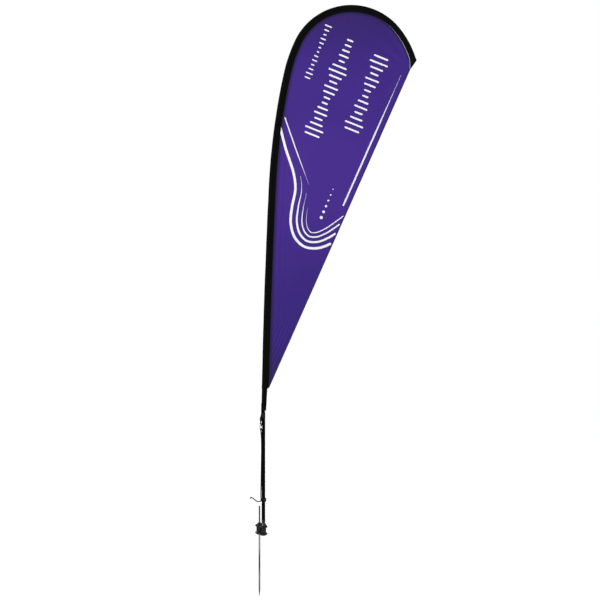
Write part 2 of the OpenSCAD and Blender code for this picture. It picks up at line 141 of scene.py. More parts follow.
# Route of its free end, from the lashing out
TAIL_ROUTE = [
    (-0.0134, -0.004, 0.190), (-0.020, -0.0055, 0.188), (-0.027, -0.0065, 0.1875), (-0.034, -0.007, 0.189),
    (-0.041, -0.007, 0.1925), (-0.048, -0.0065, 0.1975), (-0.0545, -0.006, 0.203), (-0.061, -0.0055, 0.207),
    (-0.067, -0.005, 0.2085)]
LASHING_Z = 0.197
LASHING_R = POLE_R + 0.0003 + CORD_D / 2
KNOT_HEADING = radians(-62)
RING_KNOT = POLE + Vector((-0.0136, -0.0126, 0.585))
HOOK = Matrix.Translation(POLE + Vector((-0.0145, -0.012, 0.610))) @ Matrix.Rotation(radians(-52), 4, "Z")


# ---- Lines on the pole and the cloth ----

def pole_at(s):
    """The pole's middle, s along it from its foot: how far out, how high, and its heading from upright."""
    x, z, heading = 0.0, FOOT_Z, 0.0
    for k, (turn, run) in enumerate(BOW):
        step = s if k == len(BOW) - 1 else min(s, run)
        part = radians(turn) * step / run
        if turn:
            r = run / radians(turn)
            x += r * (cos(heading) - cos(heading + part))
            z += r * (sin(heading + part) - sin(heading))
        else:
            x += step * sin(heading)
            z += step * cos(heading)
        heading += part
        s -= step
        if s <= 0:
            break
    return x, z, heading


def by_pole(s, out, across):
    """A point beside the pole: out from the cloth's side, and across the cloth."""
    x, z, heading = pole_at(s)
    return POLE + Vector((x - out * cos(heading), across, z + out * sin(heading)))


def on_edge(t, inset):
    """A flat point on the free edge: t along from the lower corner, inset into the cloth."""
    return TAIL + t * EDGE + inset * EDGE_IN


def ease(low, high, value):
    """Goes smoothly from 0 at low to 1 at high."""
    t = min(max((value - low) / (high - low), 0.0), 1.0)
    return t * t * (3 - 2 * t)


def waver(*place):
    """Smooth unevenness from -1 to 1 at a place."""
    return noise.noise(Vector((place + (0.0, 0.0))[:3]))


def seam_at(s):
    """How far the sleeve's seam lies from the pole's middle: less past the crown's top."""
    return SEAM - SEAM_NARROWS * ease(3.08, 3.30, s)


SEAM_STEPS = 900
SEAM_TREE = kdtree.KDTree(SEAM_STEPS + 1)
SEAM_PLACES = [
    CLOTH_START - 0.04 + (CLOTH_END + 0.04 - CLOTH_START) * step / SEAM_STEPS
    for step in range(SEAM_STEPS + 1)]
for step, along_pole in enumerate(SEAM_PLACES):
    SEAM_TREE.insert(by_pole(along_pole, -seam_at(along_pole), 0.0) - POLE, step)
SEAM_TREE.balance()


def near_seam(x, z):
    """The place along the pole that is nearest to a point of the cloth, and its distance from the seam."""
    step, distance = SEAM_TREE.find(Vector((x, 0.0, z)))[1:]
    return SEAM_PLACES[step], distance


def ripple(x, z):
    """How far the stretched cloth stands off its own plane."""
    s, off = near_seam(x, z)
    free = (Vector((x, z)) - TAIL).dot(EDGE_IN)
    held = ease(0.002, 0.030, off)
    belly = BELLY_DEPTH * sin(pi * ease(0.9, 2.75, z)) * ease(0.0, 0.20, off)
    belly *= 0.35 + 0.65 * ease(-0.01, 0.12, free)
    belly += SWELL_DEPTH * waver(3.1 * x, 2.3 * z, 4.0) * ease(0.02, 0.15, off)
    low = ease(0.9, 1.3, z) * (1 - ease(1.9, 2.4, z))
    folds = FOLD_DEPTH * low * exp(-off / 0.055)
    folds *= sin(2 * pi * off / FOLD_PITCH + 2.5 * waver(0.0, 2.2 * z, 7.0))
    crown = ease(CROWN_START + 0.02, CROWN_START + 0.20, s)
    puckers = PUCKER_DEPTH * crown * exp(-off / 0.022)
    puckers *= sin(2 * pi * s / PUCKER_PITCH + 2.0 * waver(9.0 * s, 1.0))
    from_point = hypot(x - POINT.x, z - POINT.y)
    angle = atan2(x - POINT.x, POINT.y - z)
    rays = RAY_DEPTH * sin(RAYS_PER_RADIAN * angle)
    rays *= ease(0.03, 0.12, from_point) * (1 - ease(0.15, 0.45, from_point))
    from_tail = hypot(x - TAIL.x, z - TAIL.y)
    draw = DRAW_DEPTH * sin(2 * pi * free / DRAW_PITCH + 0.6)
    draw *= ease(0.05, 0.14, from_tail) * (1 - ease(0.25, 0.5, from_tail))
    flutter = FLUTTER_DEPTH * (1 - ease(0.0, 0.05, free)) * waver(0.0, 11.0 * z, 2.0)
    return held * (belly + folds + puckers + rays + draw + flutter)


# ---- Making pieces ----

def new_piece(name, bm, slot, finish=None, body="pole"):
    """Turns bm into a piece that rides on a body of the frame. It has its slot's finish, unless another
    is named. The rim of an open sheet stays sharp."""
    for edge in bm.edges:
        if edge.is_boundary:
            edge.smooth = False
    mesh = bpy.data.meshes.new(name)
    bm.to_mesh(mesh)
    bm.free()
    piece = bpy.data.objects.new(name, mesh)
    bpy.context.scene.collection.objects.link(piece)
    mesh.materials.append(FINISH[finish or slot])
    for face in mesh.polygons:
        face.use_smooth = True
    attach(piece, body)
    return piece


def thicken(piece, thick, offset=0.0):
    """Gives a sheet its wall, with sharp rims."""
    wall = piece.modifiers.new("Wall", "SOLIDIFY")
    wall.thickness = thick
    wall.offset = offset
    return piece


def skin(bm, rows, columns, place, size=(1.0, 1.0), closed=False, capped=False):
    """A grid of rows along and columns across, laid so that its vertex i, j is at place(i, j).

    size is what the whole of it measures, for its UV map. closed joins its last column to its first."""
    uv = bm.loops.layers.uv.verify()
    made = bmesh.ops.create_grid(bm, x_segments=rows, y_segments=columns, size=0.5)["verts"]
    faces = {face for vertex in made for face in vertex.link_faces}
    for face in faces:
        for loop in face.loops:
            spot = loop.vert.co
            loop[uv].uv = ((spot.x + 0.5) * size[0], (spot.y + 0.5) * size[1])
    for vertex in made:
        i = round((vertex.co.x + 0.5) * rows)
        j = round((vertex.co.y + 0.5) * columns)
        vertex.co = place(i, j % columns if closed else j)
    if closed:
        bmesh.ops.remove_doubles(bm, verts=made, dist=1e-7)
    if capped:
        rims = [edge for edge in bm.edges if edge.is_boundary]
        bmesh.ops.holes_fill(bm, edges=rims, sides=0)
    return [vertex for vertex in made if vertex.is_valid]


def outwards(bm):
    bmesh.ops.recalc_face_normals(bm, faces=bm.faces)
    return bm


def curve_through(route, steps=8):
    """A smooth curve through a route's points."""
    points = [Vector(p) for p in route]
    last = len(points) - 1
    found = []
    for k in range(last):
        a, b, c, d = points[max(k - 1, 0)], points[k], points[k + 1], points[min(k + 2, last)]
        for step in range(steps):
            t = step / steps
            squared, cubed = 2 * a - 5 * b + 4 * c - d, 3 * b - a - 3 * c + d
            found.append(0.5 * (2 * b + (c - a) * t + squared * t * t + cubed * t * t * t))
    return found + [points[-1]]


def evenly(points, gap):
    """Points the same distance apart along a line, with about that gap."""
    lengths = [0.0]
    for a, b in zip(points, points[1:]):
        lengths.append(lengths[-1] + (b - a).length)
    count = max(2, round(lengths[-1] / gap))
    found, k = [], 0
    for step in range(count + 1):
        want = lengths[-1] * step / count
        while k < len(lengths) - 2 and lengths[k + 1] < want:
            k += 1
        share = (want - lengths[k]) / (lengths[k + 1] - lengths[k])
        found.append(points[k].lerp(points[k + 1], share))
    return found, lengths[-1]


def direction(points, k):
    """The way a line runs at one of its points."""
    return (points[min(k + 1, len(points) - 1)] - points[max(k - 1, 0)]).normalized()


def carried_frames(points):
    """Two directions across a line at each of its points, turning as little as they can."""
    frames = []
    side = (points[1] - points[0]).orthogonal().normalized()
    for k in range(len(points)):
        along = direction(points, k)
        side = (side - side.dot(along) * along).normalized()
        frames.append((side.copy(), along.cross(side)))
    return frames


def tube(bm, route, radius, columns=24, gap=0.0008, relief=None):
    """A round cord along a route. relief(along, around) is how far its surface stands in or out."""
    points, length = evenly(route, gap)
    frames = carried_frames(points)
    rows = len(points) - 1

    def place(i, j):
        side, up = frames[i]
        turn = 2 * pi * j / columns
        r = radius + (relief(i * length / rows, j / columns) if relief else 0.0)
        rounded = min(i, rows - i) * length / rows / radius
        if rounded < 1:
            r *= 0.35 + 0.65 * sqrt(1 - (1 - rounded) ** 2)
        return points[i] + r * (cos(turn) * side + sin(turn) * up)

    skin(bm, rows, columns, place, (length, 2 * pi * radius), closed=True, capped=True)
    return bm


BRAID_STRANDS = 8
BRAID_LAY = 0.0030
BRAID_DEPTH = 0.00024
CORD_COLUMNS = 32
KNOT_COLUMNS = 20


def braid(along, around):
    """The strands of a braided cover, over and under each other."""
    left = BRAID_STRANDS * around + along / BRAID_LAY
    right = BRAID_STRANDS * around - along / BRAID_LAY
    on_top = left if (floor(left) + floor(right)) % 2 else right
    return BRAID_DEPTH * (abs(sin(pi * on_top)) - 0.75)


def at_pole(*places):
    return [POLE + Vector(place) for place in places]


# ---- Finishes ----

def put(tree, kind, inputs=None, **settings):
    """Adds a shader node, sets it, and feeds its inputs with values or with other nodes' outputs."""
    made = tree.nodes.new("ShaderNode" + kind)
    for key, value in settings.items():
        setattr(made, key, value)
    for socket, value in (inputs or {}).items():
        if isinstance(value, bpy.types.NodeSocket):
            tree.links.new(value, made.inputs[socket])
        else:
            made.inputs[socket].default_value = value
    return made


def sums(tree, operation, a, b=0.5, c=0.5, clamp=False):
    return put(tree, "Math", {0: a, 1: b, 2: c}, operation=operation, use_clamp=clamp).outputs[0]


def times(tree, a, b):
    return sums(tree, "MULTIPLY", a, b)


def between(tree, value, low, high, to_low=0.0, to_high=1.0):
    """Maps a value from low..high to to_low..to_high, held at both ends."""
    return put(tree, "MapRange", {0: value, 1: low, 2: high, 3: to_low, 4: to_high}).outputs[0]


def blended(tree, share, a, b):
    """A colour share of the way from a to b."""
    return put(tree, "Mix", {0: share, 6: a, 7: b}, data_type="RGBA").outputs[2]


def part(tree, vector, axis):
    return put(tree, "SeparateXYZ", {0: vector}).outputs[axis]


def mottle(tree, where, scale, detail, roughness=0.5):
    """Smooth random patches, from 0 to 1."""
    settings = {"Vector": where, "Scale": scale, "Detail": detail, "Roughness": roughness}
    return put(tree, "TexNoise", settings).outputs["Fac"]


def feed(tree, node, **sources):
    for socket, source in sources.items():
        tree.links.new(source, node.inputs[socket.replace("_", " ")])


def effect(name, inputs, outputs):
    """A new shader node group with its own inputs and outputs: its tree, and its two end nodes."""
    tree = bpy.data.node_groups.new(name, "ShaderNodeTree")
    for label, kind, value in inputs:
        socket = tree.interface.new_socket(label, in_out="INPUT", socket_type=kind)
        if value is not None:
            socket.default_value = value
    for label in outputs:
        tree.interface.new_socket(label, in_out="OUTPUT", socket_type="NodeSocketFloat")
    return tree, tree.nodes.new("NodeGroupInput"), tree.nodes.new("NodeGroupOutput")


VECTOR, FLOAT = "NodeSocketVector", "NodeSocketFloat"


def make_weave():
    """A plain weave: threads over and under each other, so many to the metre."""
    tree, take, give = effect(
        "weave", [("Vector", VECTOR, None), ("Threads", FLOAT, 1000.0)], ["Height", "Gaps"])
    ridges, waves = [], []
    for axis in (0, 1):
        turns = times(tree, part(tree, take.outputs["Vector"], axis), take.outputs["Threads"])
        waves.append(sums(tree, "SINE", times(tree, turns, pi)))
        ridges.append(sums(tree, "ABSOLUTE", waves[-1]))
    over = sums(tree, "GREATER_THAN", times(tree, waves[0], waves[1]), 0.0)
    under = sums(tree, "SUBTRACT", 1.0, over)
    height = sums(tree, "ADD", times(tree, ridges[0], over), times(tree, ridges[1], under))
    feed(tree, give, Height=height,
         Gaps=sums(tree, "SUBTRACT", 1.0, sums(tree, "MAXIMUM", ridges[0], ridges[1])))
    return tree


def make_moulding():
    """The fine grain of moulded plastic, dust settled on its upper side, and its handling marks."""
    tree, take, give = effect(
        "moulding", [("Vector", VECTOR, None), ("Grain", FLOAT, 1500.0)], ["Height", "Dust", "Marks"])
    where = take.outputs["Vector"]
    coarse = mottle(tree, where, 90.0, 4.0)
    upper = between(tree, part(tree, put(tree, "NewGeometry").outputs["Normal"], 2), 0.2, 1.0)
    marks = put(tree, "TexVoronoi", {"Vector": where, "Scale": 160.0}, feature="DISTANCE_TO_EDGE")
    lines = between(tree, marks.outputs["Distance"], 0.0, 0.03, 1.0, 0.0)
    feed(tree, give, Height=mottle(tree, where, take.outputs["Grain"], 3.0),
         Dust=times(tree, upper, between(tree, coarse, 0.42, 0.68)),
         Marks=times(tree, lines, between(tree, coarse, 0.52, 0.62)))
    return tree


def make_drawn():
    """Fine lines along Z, as on drawn or ground metal and pulled fibre, and a few deeper scratches."""
    tree, take, give = effect(
        "drawn", [("Vector", VECTOR, None), ("Stretch", FLOAT, 0.02)], ["Lines", "Scratches"])
    squeeze = put(tree, "CombineXYZ", {0: 1.0, 1: 1.0, 2: take.outputs["Stretch"]}).outputs[0]
    sides = {0: take.outputs["Vector"], 1: squeeze}
    long_way = put(tree, "VectorMath", sides, operation="MULTIPLY").outputs[0]
    band = sums(tree, "ABSOLUTE", sums(tree, "SUBTRACT", mottle(tree, long_way, 260.0, 3.0), 0.5))
    feed(tree, give, Lines=mottle(tree, long_way, 2200.0, 2.0),
         Scratches=between(tree, band, 0.0, 0.012, 1.0, 0.0))
    return tree


WEAVE = make_weave()
MOULDING = make_moulding()
DRAWN = make_drawn()


def new_finish(name, **constants):
    """A material, its tree, its shader, and the places that patterns read, such as Object or UV."""
    material = bpy.data.materials.new(name)
    material.use_nodes = True
    tree = material.node_tree
    shader = tree.nodes["Principled BSDF"]
    for socket, value in constants.items():
        shader.inputs[socket.replace("_", " ")].default_value = value
    return material, tree, shader, put(tree, "TexCoord").outputs


def raise_surface(tree, shader, height, depth, strength):
    bump = put(tree, "Bump", {"Height": height, "Distance": depth, "Strength": strength})
    feed(tree, shader, Normal=bump.outputs[0])


def grey(level, tint=(1.0, 1.0, 1.0)):
    return (level * tint[0], level * tint[1], level * tint[2], 1.0)


def woven(tree, places, threads):
    """The weave's height and gaps on a UV map in metres."""
    return put(tree, "Group", {"Vector": places["UV"], "Threads": threads}, node_tree=WEAVE).outputs


def cloth_finish(name, low, high, threads, roughness=0.8, sheen=0.1, specular=0.2, depth=0.00012):
    """Woven cloth or webbing, from its darker to its lighter colour."""
    material, tree, shader, places = new_finish(
        name, Sheen_Weight=sheen, Sheen_Roughness=0.5, Specular_IOR_Level=specular)
    weave, gaps = woven(tree, places, threads)
    broad = between(tree, mottle(tree, places["Object"], 9.0, 4.0), 0.3, 0.7, 0.0, 0.5)
    share = sums(tree, "ADD", times(tree, weave, 0.45), broad)
    feed(tree, shader, Base_Color=blended(tree, share, low, high),
         Roughness=between(tree, gaps, 0.0, 1.0, roughness, min(roughness + 0.15, 1.0)))
    raise_surface(tree, shader, weave, depth, 0.6)
    return material


def flag_finish():
    """Dye-printed polyester: purple in slow random changes of tone, with a painted lighter middle, painted
    shade at the crown and the lower corner, and a darker band beside the sleeve that is partly print and
    partly painted shadow.
    """
    material, tree, shader, places = new_finish(
        "flag_cloth", Sheen_Weight=0.08, Sheen_Roughness=0.4, Specular_IOR_Level=0.18)
    weave, gaps = woven(tree, places, 1400.0)
    height = part(tree, places["Object"], 2)
    # Painted light: the middle of the cloth is painted lighter, as if lit on its belly. Random patches also
    # vary its tone.
    middle = times(tree, between(tree, height, 1.3, 1.9), between(tree, height, 2.9, 2.1))
    patches = between(tree, mottle(tree, places["Object"], 3.2, 5.0, 0.45), 0.30, 0.70, 0.55, 1.0)
    painted_light_and_patches = times(tree, middle, patches)
    purple = blended(tree, painted_light_and_patches, (0.044, 0.0175, 0.222, 1.0), (0.073, 0.0260, 0.312, 1.0))
    # Painted shade: the crown at the top and the lower corner by the tail are painted darker.
    crown, tail = between(tree, height, 2.62, 2.88), between(tree, height, 1.05, 0.86)
    # The darker band beside the seam is partly print and partly painted shadow of the sleeve.
    off = put(tree, "Attribute", attribute_name="from_seam").outputs["Fac"]
    fading = {0: off, 1: 0.0, 2: 0.020, 3: 1.0, 4: 0.0}
    seam_print_and_shadow = put(tree, "MapRange", fading, interpolation_type="SMOOTHSTEP").outputs[0]
    # Blends in the painted shade at the crown and the lower corner, the seam band of print and painted
    # shadow, and the darker gaps of the weave.
    for share, darker in (
            (crown, (0.040, 0.0155, 0.158, 1.0)), (tail, (0.032, 0.018, 0.100, 1.0)),
            (seam_print_and_shadow, (0.017, 0.010, 0.060, 1.0)), (times(tree, gaps, 0.35), (0.020, 0.010, 0.090, 1.0))):
        purple = blended(tree, share, purple, darker)
    feed(tree, shader, Base_Color=purple, Roughness=between(tree, weave, 0.0, 1.0, 0.85, 0.66))
    raise_surface(tree, shader, weave, 0.00008, 0.5)
    return material


def plastic_finish(name, colour, dusty, grain, roughness):
    """Moulded plastic with a fine grain, settled dust and light handling marks."""
    material, tree, shader, places = new_finish(name)
    height, dust, marks = put(
        tree, "Group", {"Vector": places["Object"], "Grain": grain}, node_tree=MOULDING).outputs
    base = blended(tree, times(tree, dust, 0.45), colour, dusty)
    base = blended(tree, times(tree, marks, 0.35), base, dusty)
    worn = sums(tree, "ADD", dust, marks, clamp=True)
    feed(tree, shader, Base_Color=base, Roughness=between(tree, worn, 0.0, 1.0, roughness, roughness + 0.3))
    raise_surface(tree, shader, height, 0.00006, 0.7)
    return material


def drawn_lines(tree, places, stretch=0.02):
    settings = {"Vector": places["Object"], "Stretch": stretch}
    return put(tree, "Group", settings, node_tree=DRAWN).outputs


def metal_finish(name, colour, dull, roughness, metallic=1.0):
    """Plated or drawn metal with fine lines along it and a few scratches."""
    material, tree, shader, places = new_finish(name, Metallic=metallic)
    lines, scratches = drawn_lines(tree, places)
    share = times(tree, scratches, 0.6)
    rough = between(tree, lines, 0.3, 0.7, roughness, roughness + 0.12)
    feed(tree, shader, Base_Color=blended(tree, share, colour, dull),
         Roughness=sums(tree, "ADD", rough, times(tree, share, 0.3)))
    raise_surface(tree, shader, lines, 0.00004, 0.4)
    return material


def stake_finish():
    """Plated steel bar, bright below the bracket, duller above it, with dried soil towards its point."""
    material, tree, shader, places = new_finish("stake_steel")
    lines, scratches = drawn_lines(tree, places)
    height = part(tree, places["Object"], 2)
    blotch = mottle(tree, places["Object"], 42.0, 6.0, 0.6)
    above = between(tree, height, 0.045, 0.070)
    dark = times(tree, between(tree, height, -0.07, -0.13), between(tree, height, -0.24, -0.18))
    soil = times(tree, between(tree, blotch, 0.50, 0.62), between(tree, height, -0.14, -0.34))
    steel = (0.62, 0.62, 0.63, 1.0)
    for share, colour in (
            (above, (0.24, 0.24, 0.25, 1.0)), (times(tree, scratches, 0.35), grey(0.20)),
            (times(tree, dark, 0.85), (0.075, 0.060, 0.062, 1.0)), (soil, (0.14, 0.095, 0.06, 1.0))):
        steel = blended(tree, share, steel, colour)
    rough = between(tree, lines, 0.3, 0.7, 0.16, 0.28)
    feed(tree, shader, Base_Color=steel, Metallic=between(tree, soil, 0.0, 1.0, 1.0, 0.0),
         Roughness=sums(tree, "ADD", rough, times(tree, soil, 0.6)))
    raise_surface(tree, shader, sums(tree, "ADD", lines, times(tree, soil, 6.0)), 0.00006, 0.5)
    return material


def pole_finish():
    """Black lacquered glass fibre: a satin coat over fine fibres that run along it, with rub marks."""
    material, tree, shader, places = new_finish("pole_black", Specular_IOR_Level=0.06)
    lines, scratches = drawn_lines(tree, places, 0.01)
    fibres = between(tree, lines, 0.45, 0.75, 0.0, 0.3)
    share = sums(tree, "ADD", times(tree, scratches, 0.25), fibres, clamp=True)
    feed(tree, shader, Base_Color=blended(tree, share, grey(0.0012), grey(0.0045)),
         Roughness=between(tree, lines, 0.3, 0.7, 0.30, 0.42))
    raise_surface(tree, shader, lines, 0.00004, 0.4)
    return material


def cord_finish():
    """A braided cover of fine dark yarn with two paler tracer strands."""
    material, tree, shader, places = new_finish(
        "elastic_cord", Sheen_Weight=0.05, Sheen_Roughness=0.5, Specular_IOR_Level=0.12)
    turns = sums(tree, "DIVIDE", part(tree, places["UV"], 1), pi * CORD_D)
    steps = sums(tree, "DIVIDE", part(tree, places["UV"], 0), BRAID_LAY)
    left = sums(tree, "MULTIPLY_ADD", turns, float(BRAID_STRANDS), steps)
    traced = sums(tree, "PINGPONG", left, BRAID_STRANDS / 2)
    tracer = times(tree, between(tree, traced, 0.42, 0.50, 1.0, 0.0), 0.75)
    settings = {"Vector": places["UV"], "Scale": 900.0, "Distortion": 3.0}
    yarn = put(tree, "TexWave", settings, bands_direction="DIAGONAL").outputs["Fac"]
    dark = blended(tree, yarn, grey(0.004), grey(0.014))
    feed(tree, shader, Base_Color=blended(tree, tracer, dark, grey(0.060)),
         Roughness=between(tree, yarn, 0.0, 1.0, 0.85, 0.65))
    raise_surface(tree, shader, yarn, 0.00005, 0.7)
    return material


# The finishes that differ only in their values, under the names of the record's slots
CLOTHS = {
    "hem_cloth": ((0.026, 0.013, 0.110, 1.0), (0.045, 0.022, 0.180, 1.0), 1400.0),
    "print_white": (grey(0.90), grey(0.98), 1400.0, 0.75, 0.0, 0.2, 0.00005),
    "raw_edge": (grey(0.30), grey(0.45), 900.0),
    "sleeve_cloth": (grey(0.0012), grey(0.0042), 1100.0, 0.72, 0.0, 0.06),
    "webbing": (grey(0.0014), grey(0.0055), 650.0, 0.72, 0.0, 0.08, 0.0003),
    "sleeve_thread": (grey(0.012), grey(0.040), 2500.0, 0.6, 0.1, 0.3),
    "hem_thread": ((0.05, 0.028, 0.20, 1.0), (0.08, 0.05, 0.27, 1.0), 2500.0, 0.6, 0.1, 0.3)}
METALS = {
    "ferrule_metal": (grey(0.012), grey(0.06), 0.35, 0.6),
    "plated_steel": ((0.60, 0.60, 0.58, 1.0), grey(0.35), 0.25),
    "spindle_steel": ((0.50, 0.50, 0.52, 1.0), grey(0.30), 0.18),
    "ring_steel": ((0.72, 0.72, 0.73, 1.0), grey(0.45), 0.12)}
PLASTICS = {
    "joiner_glass_fibre": (grey(0.30, (1.0, 0.97, 0.85)), grey(0.42), 2500.0, 0.5),
    "bracket_plastic": (grey(0.0075, (0.95, 0.97, 1.1)), grey(0.05), 1100.0, 0.27),
    "hook_plastic": (grey(0.006), grey(0.04), 1800.0, 0.32),
    "bush_nylon": ((0.62, 0.60, 0.52, 1.0), grey(0.35), 1800.0, 0.45),
    "seal_rubber": (grey(0.010), grey(0.05), 2600.0, 0.6)}
FINISH = {"flag_cloth": flag_finish(), "elastic_cord": cord_finish(), "pole_black": pole_finish(),
          "stake_steel": stake_finish()}
for make, kind in ((cloth_finish, CLOTHS), (metal_finish, METALS), (plastic_finish, PLASTICS)):
    for name, values in kind.items():
        FINISH[name] = make(name, *values)


# ---- Camera, light and ground ----

LENS = 54.2
CAMERA_PLACE = (0.2243, -5.0, 1.2947)
STUDIO_AIM = Vector((0.3, 0.0, 1.3))
FLOOR_DROP = 0.004


def stand(name, data, place=(0.0, 0.0, 0.0)):
    """Puts a camera, a lamp or a mesh in the scene."""
    thing = bpy.data.objects.new(name, data)
    thing.location = place
    bpy.context.scene.collection.objects.link(thing)
    return thing


def set_camera():
    """Level with the middle of the flag, five metres off, square on to the cloth."""
    lens = bpy.data.cameras.new("camera")
    lens.lens = LENS
    camera = stand("camera", lens, CAMERA_PLACE)
    camera.rotation_euler = (radians(90), 0, 0)
    bpy.context.scene.camera = camera


def softbox(name, place, size, power):
    lamp = bpy.data.lights.new(name, "AREA")
    lamp.size = size
    lamp.energy = power
    box = stand(name, lamp, place)
    box.rotation_euler = (STUDIO_AIM - Vector(place)).to_track_quat("-Z", "Y").to_euler()


def set_studio():
    """A pale floor under the stake's point, a little light from all round, and four softboxes."""
    bm = bmesh.new()
    bmesh.ops.create_grid(bm, x_segments=1, y_segments=1, size=40.0)
    bmesh.ops.translate(bm, verts=bm.verts, vec=(0.0, 0.0, CAD_BOX[0][2] - FLOOR_DROP))
    mesh = bpy.data.meshes.new("studio_floor")
    bm.to_mesh(mesh)
    bm.free()
    pale, tree, shader, places = new_finish(
        "floor_paper", Roughness=0.9, Specular_IOR_Level=0.1, Emission_Color=grey(1.0))
    towards_back = between(tree, part(tree, places["Object"], 1), -0.35, 0.02)
    seen = put(tree, "LightPath").outputs["Is Camera Ray"]
    paper = blended(tree, towards_back, grey(0.62), grey(0.10))
    feed(tree, shader, Base_Color=paper, Emission_Strength=seen)
    mesh.materials.append(pale)
    stand("studio_floor", mesh)

    world = bpy.data.worlds.new("studio")
    world.use_nodes = True
    sky = world.node_tree
    backdrop = sky.nodes["Background"]
    seen = put(sky, "LightPath").outputs["Is Camera Ray"]
    feed(sky, backdrop, Strength=between(sky, seen, 0.0, 1.0, 0.13, 1.0))
    backdrop.inputs["Color"].default_value = grey(1.0)
    bpy.context.scene.world = world
    bpy.context.scene.view_settings.view_transform = "Standard"

    softbox("key_light", (-3.2, -4.6, 4.2), 2.6, 300.0)
    softbox("fill_light", (4.6, -4.2, 2.2), 2.2, 80.0)
    softbox("back_light", (-2.4, 4.8, 3.8), 2.6, 200.0)
    softbox("side_light", (5.0, 3.0, 3.0), 2.0, 75.0)


set_camera()
set_studio()


# ---- Cords ----

def cord_piece(name, bm, stands_for):
    piece = new_piece(name, outwards(bm), "elastic_cord")
    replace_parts(piece, stands_for)
    return piece


def tension_cord():
    route = curve_through(at_pole(*CORD_ROUTE))
    bm = tube(bmesh.new(), route, CORD_D / 2, CORD_COLUMNS, relief=braid)
    piece = cord_piece("tension_cord_braid", bm, "tension_cord")
    path = evenly(route, 0.004)[0]


def lashing():
    """The cord turns three times round the pole, on its way from the tension cord to its free end."""
    start_turn = radians(188)
    swept = radians(1042)
    pitch = CORD_D + 0.0001
    top_z = 0.2052
    steps = 30
    turns = [POLE + Vector(CORD_ROUTE[-1])]
    for k in range(1, steps):
        turn = start_turn + swept * (k + 0.6) / (steps + 0.6)
        z = top_z - pitch * (turn - start_turn) / (2 * pi)
        turns.append(POLE + Vector((LASHING_R * cos(turn), LASHING_R * sin(turn), z)))
    turns.append(POLE + Vector(TAIL_ROUTE[0]) + Vector((-0.001, 0.0, 0.0)))
    bm = tube(bmesh.new(), curve_through(turns), CORD_D / 2, CORD_COLUMNS, relief=braid)
    cord_piece("cord_lashing_braid", bm, "cord_lashing")


def lashing_knot():
    """Two turns of the cord pass over the lashing in front and are drawn tight by a third round them."""
    bm = bmesh.new()
    out = Vector((cos(KNOT_HEADING), sin(KNOT_HEADING), 0.0))
    side = Vector((-out.y, out.x, 0.0))
    middle = POLE + Vector((0.0, 0.0, LASHING_Z))
    # How far an arch of cord stands out from the lashing, to the side, and above or below its middle
    arch = [
        (-0.001, 0.0030, 0.0105), (0.0040, 0.0027, 0.0088), (0.0062, 0.0024, 0.0040), (0.0066, 0.0022, 0.0)]
    arch += [(away, aside, -up) for away, aside, up in reversed(arch[:-1])]
    for lean in (-1, 1):
        route = [
            middle + out * (LASHING_R + away) + side * lean * aside + Vector((0, 0, up))
            for away, aside, up in arch]
        tube(bm, curve_through(route), 0.0024, KNOT_COLUMNS, 0.0008, braid)
    steps = 16
    wrap = []
    for k in range(steps + 1):
        turn = 2 * pi * k / steps
        wrap.append(middle + out * (LASHING_R + 0.0066 + 0.0044 * cos(turn)) + side * 0.0068 * sin(turn)
                    + Vector((0, 0, 0.0018 - 0.0036 * k / steps)))
    tube(bm, curve_through(wrap), 0.0020, KNOT_COLUMNS, 0.0008, braid)
    cord_piece("lashing_knot_braid", bm, "lashing_knot")


def wraps(bm, centre, axis, radius, strand, turns, pitch):
    """Turns of thinner cord round an axis."""
    axis = axis.normalized()
    a = axis.orthogonal().normalized()
    b = axis.cross(a)
    steps = 14 * turns
    route = []
    for k in range(steps + 1):
        turn = 2 * pi * turns * k / steps
        rise = pitch * turns * (k / steps - 0.5)
        route.append(centre + radius * (cos(turn) * a + sin(turn) * b) + rise * axis)
    tube(bm, curve_through(route, 4), strand, 16, 0.0008)


def ring_knot():
    """The cord passes up through the ring and back, and is whipped to itself below it."""
    bm = bmesh.new()
    ring_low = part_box("tension_ring")[0].z + 0.00125
    bend = 0.0032
    foot_z = RING_KNOT.z - 0.0036
    loop = [Vector((RING_KNOT.x, RING_KNOT.y + bend * 0.72, foot_z))]
    for k in range(-4, 5):
        turn = radians(90 + 22.5 * k)
        loop.append(Vector((RING_KNOT.x, RING_KNOT.y + bend * cos(turn), ring_low + bend * sin(turn))))
    loop.append(Vector((RING_KNOT.x, RING_KNOT.y - bend * 0.72, foot_z)))
    tube(bm, curve_through(loop), 0.0018, KNOT_COLUMNS, 0.0007, braid)
    wraps(bm, RING_KNOT - Vector((0, 0, 0.0008)), Vector((0, 0, 1)), 0.0036, 0.0012, 4, 0.0021)
    cord_piece("ring_knot_whipping", bm, "ring_knot")


def free_end():
    """The stiff tail of the cord, and the knot at its end with a stub that points down."""
    route = curve_through(at_pole(*TAIL_ROUTE))
    bm = tube(bmesh.new(), route, CORD_D / 2, CORD_COLUMNS, relief=braid)
    tail = cord_piece("cord_tail_braid", bm, "cord_tail")
    bm = bmesh.new()
    end = POLE + Vector(TAIL_ROUTE[-1])
    heading = Vector((-1.0, 0.05, 0.1))
    wraps(bm, end - Vector((0.0010, 0.0, 0.0002)), heading, 0.0028, 0.0021, 2, 0.0040)
    stub = ((-0.001, 0, 0), (-0.0035, 0, -0.0008), (-0.0052, 0, -0.003), (-0.0056, 0, -0.0062))
    tube(bm, curve_through([end + Vector(p) for p in stub]), 0.0024, KNOT_COLUMNS, 0.0006, braid)
    knot = cord_piece("cord_end_knot_braid", bm, "cord_end_knot")
    path = evenly(route, 0.003)[0]


tension_cord()
lashing()
lashing_knot()
ring_knot()
free_end()


# ---- Cloth ----

CLOTH_ROWS = 400
CLOTH_COLUMNS = 104


